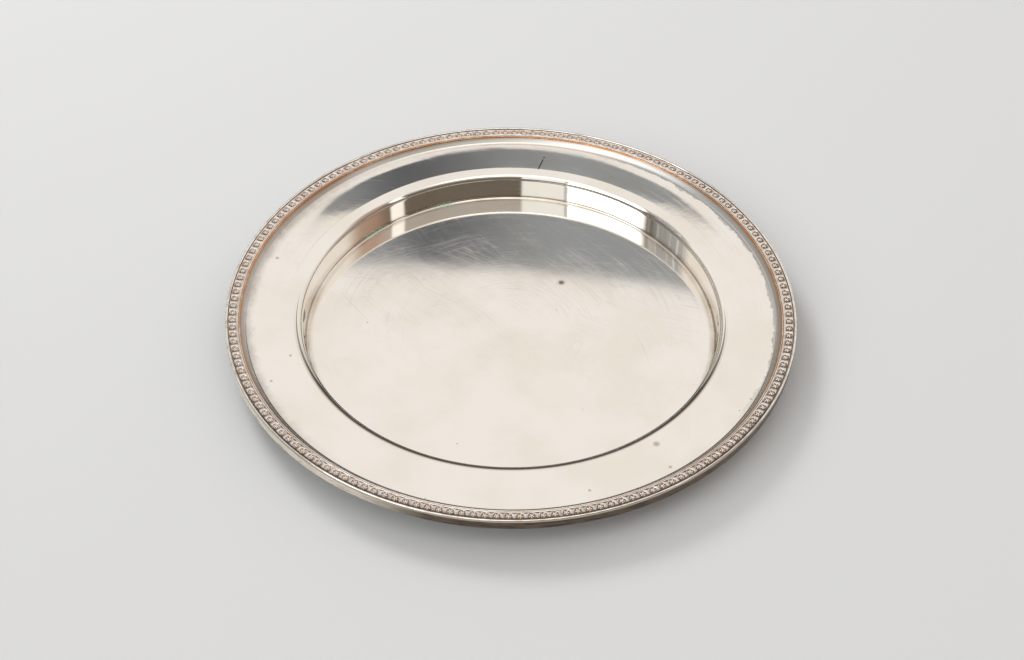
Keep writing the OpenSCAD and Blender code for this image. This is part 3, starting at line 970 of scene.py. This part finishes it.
def struckSilverMetal(m, b):
    # thin sheet struck in a die: tarnish stays in the hollows, high points are rubbed bright
    # and some are worn through to the copper
    material, tree, place = startMaterial("silver sheet, struck, dark in the hollows")
    x, y, z, radius = roundTheAxis(tree, place)
    outwards = add(tree, "ShaderNodeMath", (radius, b["inRadius"]), operation="SUBTRACT")
    level = add(tree, "ShaderNodeMath", (outwards, b["dip"] / b["width"], b["inFace"]),
                operation="MULTIPLY_ADD")
    above = add(tree, "ShaderNodeMath", (z, level), operation="SUBTRACT")
    dull = add(tree, "ShaderNodeTexNoise",
               {"Vector": place, "Scale": 1 / 4, "Detail": 4, "Roughness": 0.6})
    dull = add(tree, "ShaderNodeMapRange", (dull, 0.36, 0.68), interpolation_type="SMOOTHSTEP")
    colour = add(tree, "ShaderNodeMix",
                 {0: dull, 6: linear(m["ground"]), 7: linear(m["groundDull"])}, data_type="RGBA")
    inHollow = add(tree, "ShaderNodeMapRange", (above, -0.08, -0.26),
                   interpolation_type="SMOOTHSTEP")
    # tarnish in the hollows, with painted shade making them darker towards the front right, away
    # from the key light
    hollowTarnishAndShade = towards(tree, x, y, radius, m["shadiestSide"], 50, 120)
    hollowTarnishAndShade = add(tree, "ShaderNodeMath", (hollowTarnishAndShade, 0.4, 0.35), operation="MULTIPLY_ADD")
    hollowTarnishAndShade = add(tree, "ShaderNodeMath", (hollowTarnishAndShade, inHollow), operation="MULTIPLY")
    colour = add(tree, "ShaderNodeMix", {0: hollowTarnishAndShade, 6: colour, 7: linear(m["hollows"])},
                 data_type="RGBA")
    inRosette = add(tree, "ShaderNodeAttribute", attribute_name="wear").outputs["Fac"]
    edges = add(tree, "ShaderNodeMath",
                (add(tree, "ShaderNodeMapRange", (above, -0.3, -0.14),
                     interpolation_type="SMOOTHSTEP"), inRosette), operation="MULTIPLY")
    worn = add(tree, "ShaderNodeTexNoise",
               {"Vector": place, "Scale": 1 / 2.2, "Detail": 3, "Roughness": 0.6})
    worn = add(tree, "ShaderNodeMapRange", (worn, 0.38, 0.58), interpolation_type="SMOOTHSTEP")
    rim = add(tree, "ShaderNodeMix",
              {0: worn, 6: linear(m["petalEdges"]), 7: linear(m["petalEdgesWorn"])},
              data_type="RGBA")
    colour = add(tree, "ShaderNodeMix", {0: edges, 6: colour, 7: rim}, data_type="RGBA")
    crowns = add(tree, "ShaderNodeMath",
                 (add(tree, "ShaderNodeMapRange", (above, -0.13, -0.05),
                      interpolation_type="SMOOTHSTEP"), inRosette), operation="MULTIPLY")
    colour = add(tree, "ShaderNodeMix", {0: crowns, 6: colour, 7: linear(m["crowns"])},
                 data_type="RGBA")
    rough = add(tree, "ShaderNodeMath", (dull, 0.08, 0.2), operation="MULTIPLY_ADD")
    rough = add(tree, "ShaderNodeMath", (inHollow, 0.2, rough), operation="MULTIPLY_ADD")
    finishMaterial(tree, {"Base Color": colour, "Roughness": rough, "Metallic": 1.0})
    return material


def solderMetal():
    # soft solder, cast and never polished: dull grey, with a grainy skin
    material, tree, place = startMaterial("soft solder, cast and dull")
    skin = add(tree, "ShaderNodeTexNoise",
               {"Vector": place, "Scale": 1 / 2, "Detail": 4, "Roughness": 0.6})
    skin = add(tree, "ShaderNodeMapRange", (skin, 0.35, 0.7), interpolation_type="SMOOTHSTEP")
    colour = add(tree, "ShaderNodeMix", {0: skin, 6: linear("8f8f8c"), 7: linear("6b6b68")},
                 data_type="RGBA")
    bump = add(tree, "ShaderNodeBump",
               {"Height": add(tree, "ShaderNodeMath", (skin, 0.05), operation="MULTIPLY"),
                "Distance": mm})
    finishMaterial(tree, {"Base Color": colour, "Roughness": 0.5, "Metallic": 1.0,
                          "Normal": bump})
    return material


silver = silverSheet(silverMarks)
brightWire = edgeWireMetal(wireMarks)
bandSilver = bandMetal(bandMarks)
wornCopper = wornWireMetal(wireMarks)
struckSilver = struckSilverMetal(borderMarks, borderSizes)
softSolder = solderMetal()
print("materials made")

border = makeBorder(borderSizes, struckSilver)
print("border made,", sum(len(p.data.polygons) for p in border), "faces")

for piece, node, metal, slot in ((dish, "dish", silver, "plated_sheet"),
                                 (edgeWire, "edge_wire", brightWire, "bright_wire"),
                                 (innerWire, "inner_wire", wornCopper, "worn_wire"),
                                 (edgeBand, "edge_band", bandSilver, "lapped_edge")):
    piece.data.materials.append(metal)
    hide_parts(node)
    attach(piece, "root")
for i, piece in enumerate(border):
    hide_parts("border_" + str(i + 1))
    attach(piece, "root")
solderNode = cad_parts["solder_bed"]
solderNode.data.materials.clear()
solderNode.data.materials.append(softSolder)
print("pieces ride on the frame")


# Floor, surroundings, light and camera

scene = bpy.context.scene
scene.view_settings.view_transform = "Standard"

floorMesh = bpy.data.meshes.new("floor")
span = 6.0  # metres from the middle to each edge
floorMesh.from_pydata([(-span, -span, 0), (span, -span, 0), (span, span, 0), (-span, span, 0)],
                      [], [(0, 1, 2, 3)])
floor = bpy.data.objects.new("floor", floorMesh)
scene.collection.objects.link(floor)
floorPaint, floorTree, _ = startMaterial("pale floor, matt")
finishMaterial(floorTree, {"Base Color": linear("d4d5d6"), "Roughness": 0.9})
floorMesh.materials.append(floorPaint)

roomSizes = {
    "cream": "f5f1ed",
    "backdropDark": "636569",
    "backdropLight": "949799",
    "backdropLow": "4a4b4d",   # the same backdrop, low down
    "lowRoom": "b5ada2",
    "room": "706960",
    "roomHigh": "b6b2ad",      # the same room nearer its ceiling
    "doorway": "b0917e",
    "mullion": "9b9c9a",
    "lampLight": (1.7, 1.66, 1.58, 1),
    "windowLight": (0.95, 0.97, 0.96, 1),
    "paneLight": (2.2, 2.3, 2.4, 1),
    "stripLight": (1.15, 1.15, 1.13, 1),
    "curtainDark": (0.36, 0.38, 0.4, 1),
    "curtainLight": (0.95, 1.02, 1.12, 1),
    "paper": "dcdcda",         # what the camera itself sees
    "backdropTop": 42.1,       # degrees above the horizon, straight ahead
    "backdropTilt": 0.045,     # rise of its top edge from left to right, per degree
    "backdropHalfWidth": 17.0,
    "paleWall": (24, 76),      # this and the next are degrees clockwise from straight ahead
    "behind": (92, 276),
    "lamp": (115, 245),
    "door": (86.0, 108.0),
    "strip": (112.0, 120.0),
    "window": (185.0, 256.0),
    "pane": (209.0, 254.0),
    "mullions": (208.0, 257.0),
    "curtain": (262, 286),
    "eyeLevel": 30.5,          # degrees above the horizon, where the widths above hold
    "nearness": 0.007,         # how fast the window narrows above that
}


def makeRoom(r):
    # what the silver mirrors: a cream ceiling and walls, a dark backdrop past the far side,
    # and behind the viewer a dimmer room with a window and a strip of light
    world = bpy.data.worlds.new("studio")
    world.use_nodes = True
    tree = world.node_tree
    tree.nodes.clear()
    heading = add(tree, "ShaderNodeTexCoord").outputs["Generated"]
    parts = add(tree, "ShaderNodeSeparateXYZ", (heading,)).outputs
    # degrees above the horizon, and clockwise from straight ahead: -180 to 180, and 0 to 360
    rise = add(tree, "ShaderNodeMath", (parts[2],), operation="ARCSINE")
    rise = add(tree, "ShaderNodeMath", (rise,), operation="DEGREES")
    aside = add(tree, "ShaderNodeMath", (parts[0], parts[1]), operation="ARCTAN2")
    aside = add(tree, "ShaderNodeMath", (aside,), operation="DEGREES")
    offside = add(tree, "ShaderNodeMath", (aside,), operation="ABSOLUTE")
    fromLeft = add(tree, "ShaderNodeMath", (aside, 0.0), operation="LESS_THAN")
    around = add(tree, "ShaderNodeMath", (fromLeft, 360, aside), operation="MULTIPLY_ADD")

    def between(value, low, high, soft=1.0):
        return add(tree, "ShaderNodeMath",
                   (add(tree, "ShaderNodeMapRange", (value, low - soft, low + soft),
                        interpolation_type="SMOOTHSTEP"),
                    add(tree, "ShaderNodeMapRange", (value, high + soft, high - soft),
                        interpolation_type="SMOOTHSTEP")), operation="MULTIPLY")

    # everything low is dim but for the pale wall on the right, and the backdrop is dark up to
    # its slightly tilted top edge
    low = add(tree, "ShaderNodeMapRange", (rise, 28, 20), interpolation_type="SMOOTHSTEP")
    dimmed = add(tree, "ShaderNodeMath", (between(aside, *r["paleWall"], 10.0), -0.8, 1.0),
                 operation="MULTIPLY_ADD")
    low = add(tree, "ShaderNodeMath", (low, dimmed), operation="MULTIPLY")
    colour = add(tree, "ShaderNodeMix", {0: low, 6: linear(r["cream"]), 7: linear(r["lowRoom"])},
                 data_type="RGBA")
    top = add(tree, "ShaderNodeMath", (aside, r["backdropTilt"], r["backdropTop"]),
              operation="MULTIPLY_ADD")
    under = add(tree, "ShaderNodeMath", (top, rise), operation="SUBTRACT")
    under = add(tree, "ShaderNodeMapRange", (under, -0.15, 0.15), interpolation_type="SMOOTHSTEP")
    inside = add(tree, "ShaderNodeMapRange",
                 (offside, r["backdropHalfWidth"] + 3, r["backdropHalfWidth"]),
                 interpolation_type="SMOOTHSTEP")
    inBackdrop = add(tree, "ShaderNodeMath", (under, inside), operation="MULTIPLY")
    # the backdrop is lit at its ends, and darkest a little left of the middle
    litRight = add(tree, "ShaderNodeMapRange", (aside, -3.8, 2.0),
                   interpolation_type="SMOOTHSTEP")
    litLeft = add(tree, "ShaderNodeMapRange", (aside, -3.8, -7.0),
                  interpolation_type="SMOOTHSTEP")
    lit = add(tree, "ShaderNodeMath", (litRight, litLeft), operation="ADD")
    backdrop = add(tree, "ShaderNodeMix",
                   {0: lit, 6: linear(r["backdropDark"]), 7: linear(r["backdropLight"])},
                   data_type="RGBA")
    higher = add(tree, "ShaderNodeMapRange", (rise, 30, 37), interpolation_type="SMOOTHSTEP")
    backdrop = add(tree, "ShaderNodeMix", {0: higher, 6: linear(r["backdropLow"]), 7: backdrop},
                   data_type="RGBA")
    colour = add(tree, "ShaderNodeMix", {0: inBackdrop, 6: colour, 7: backdrop}, data_type="RGBA")

    # the dim room behind the viewer, lighter towards its ceiling, and a lamp over the camera
    behind = between(around, *r["behind"], 14.0)
    behind = add(tree, "ShaderNodeMath",
                 (behind,
                  add(tree, "ShaderNodeMapRange", (rise, 64, 52),
                      interpolation_type="SMOOTHSTEP")), operation="MULTIPLY")
    upRoom = add(tree, "ShaderNodeMapRange", (rise, 35, 45), interpolation_type="SMOOTHSTEP")
    dim = add(tree, "ShaderNodeMix", {0: upRoom, 6: linear(r["room"]), 7: linear(r["roomHigh"])},
              data_type="RGBA")
    colour = add(tree, "ShaderNodeMix", {0: behind, 6: colour, 7: dim}, data_type="RGBA")
    lamp = add(tree, "ShaderNodeMath",
               (between(around, *r["lamp"], 20.0), between(rise, 58, 84, 5.0)),
               operation="MULTIPLY")
    colour = add(tree, "ShaderNodeMix", {0: lamp, 6: colour, 7: r["lampLight"]}, data_type="RGBA")
    # a window is near, so it looks narrower the higher the eye that sees it
    higher = add(tree, "ShaderNodeMath", (rise, r["eyeLevel"]), operation="SUBTRACT")
    nearness = add(tree, "ShaderNodeMath", (higher, -r["nearness"], 1.0),
                   operation="MULTIPLY_ADD")
    around = add(tree, "ShaderNodeMath", (around, 180.0), operation="SUBTRACT")
    around = add(tree, "ShaderNodeMath", (around, nearness, 180.0), operation="MULTIPLY_ADD")
    level = between(rise, 18, 57, 1.5)
    door = add(tree, "ShaderNodeMath", (between(around, *r["door"], 8.0), level),
               operation="MULTIPLY")
    door = add(tree, "ShaderNodeMath", (door, 0.8), operation="MULTIPLY")
    colour = add(tree, "ShaderNodeMix", {0: door, 6: colour, 7: linear(r["doorway"])},
                 data_type="RGBA")
    window = add(tree, "ShaderNodeMath", (between(around, *r["window"]), level),
                 operation="MULTIPLY")
    colour = add(tree, "ShaderNodeMix", {0: window, 6: colour, 7: r["windowLight"]},
                 data_type="RGBA")
    pane = add(tree, "ShaderNodeMath", (between(around, *r["pane"]), between(rise, 18, 53, 1.5)),
               operation="MULTIPLY")
    colour = add(tree, "ShaderNodeMix", {0: pane, 6: colour, 7: r["paneLight"]}, data_type="RGBA")
    for side in r["mullions"]:
        mullion = add(tree, "ShaderNodeMath", (between(around, side, side + 2, 0.5), level),
                      operation="MULTIPLY")
        mullion = add(tree, "ShaderNodeMath", (mullion, 0.8), operation="MULTIPLY")
        colour = add(tree, "ShaderNodeMix", {0: mullion, 6: colour, 7: linear(r["mullion"])},
                     data_type="RGBA")
    curtain = add(tree, "ShaderNodeMath", (between(around, *r["curtain"], 4.0), level),
                  operation="MULTIPLY")
    hung = add(tree, "ShaderNodeCombineXYZ", (around,))
    folds = add(tree, "ShaderNodeTexNoise",
                {"Vector": hung, "Scale": 0.55, "Detail": 3, "Roughness": 0.7})
    folds = add(tree, "ShaderNodeMapRange", (folds, 0.5, 0.64), interpolation_type="SMOOTHSTEP")
    cloth = add(tree, "ShaderNodeMix", {0: folds, 6: r["curtainDark"], 7: r["curtainLight"]},
                data_type="RGBA")
    curtain = add(tree, "ShaderNodeMath", (curtain, 0.85), operation="MULTIPLY")
    colour = add(tree, "ShaderNodeMix", {0: curtain, 6: colour, 7: cloth}, data_type="RGBA")
    strip = add(tree, "ShaderNodeMath", (between(around, *r["strip"]), level),
                operation="MULTIPLY")
    colour = add(tree, "ShaderNodeMix", {0: strip, 6: colour, 7: r["stripLight"]},
                 data_type="RGBA")

    # the camera itself sees plain pale paper
    seen = add(tree, "ShaderNodeLightPath").outputs["Is Camera Ray"]
    colour = add(tree, "ShaderNodeMix", {0: seen, 6: colour, 7: linear(r["paper"])},
                 data_type="RGBA")
    back = add(tree, "ShaderNodeBackground", {"Color": colour, "Strength": 1.0})
    add(tree, "ShaderNodeOutputWorld", {"Surface": back})
    scene.world = world


makeRoom(roomSizes)

keySizes = {"place": (-0.9, 1.1, 1.5), "size": 0.7, "watts": 14.0}
keyData = bpy.data.lights.new("key", "AREA")
keyData.shape = "DISK"
keyData.size = keySizes["size"]
keyData.energy = keySizes["watts"]
key = bpy.data.objects.new("key", keyData)
scene.collection.objects.link(key)
key.location = keySizes["place"]
key.rotation_euler = (Vector((0, 0, 0)) - key.location).to_track_quat("-Z", "Y").to_euler()
key.visible_glossy = False

cameraSizes = {
    "lens": 59.8,            # mm, on a sensor 36 mm wide
    "distance": 5.889,       # in outer radii, from the point looked at
    "elevation": 44.12,      # degrees
    "roll": 0.59,            # degrees
    "aim": (0.004, -0.144),  # point looked at, in outer radii from the axis
    "aimDrop": 0.7,          # mm below the top of the edge wire
}
c = cameraSizes
camData = bpy.data.cameras.new("camera")
camData.sensor_width = 36.0
camData.lens = c["lens"]
camData.clip_start, camData.clip_end = 0.05, 50.0
camera = bpy.data.objects.new("camera", camData)
scene.collection.objects.link(camera)
tilt, roll = math.radians(c["elevation"]), math.radians(c["roll"])
forward = Vector((0, math.cos(tilt), -math.sin(tilt)))
right = Vector((1, 0, 0))
up = right.cross(forward)
rolledRight = right * math.cos(roll) + up * math.sin(roll)
rolledUp = up * math.cos(roll) - right * math.sin(roll)
aim = Vector((c["aim"][0] * outerRadius, c["aim"][1] * outerRadius,
              topHeight - c["aimDrop"])) * mm
eye = aim - forward * c["distance"] * outerRadius * mm
basis = Matrix((rolledRight, rolledUp, -forward)).transposed()
camera.matrix_world = Matrix.Translation(eye) @ basis.to_4x4()
scene.camera = camera
print("floor, surroundings, light and camera made")
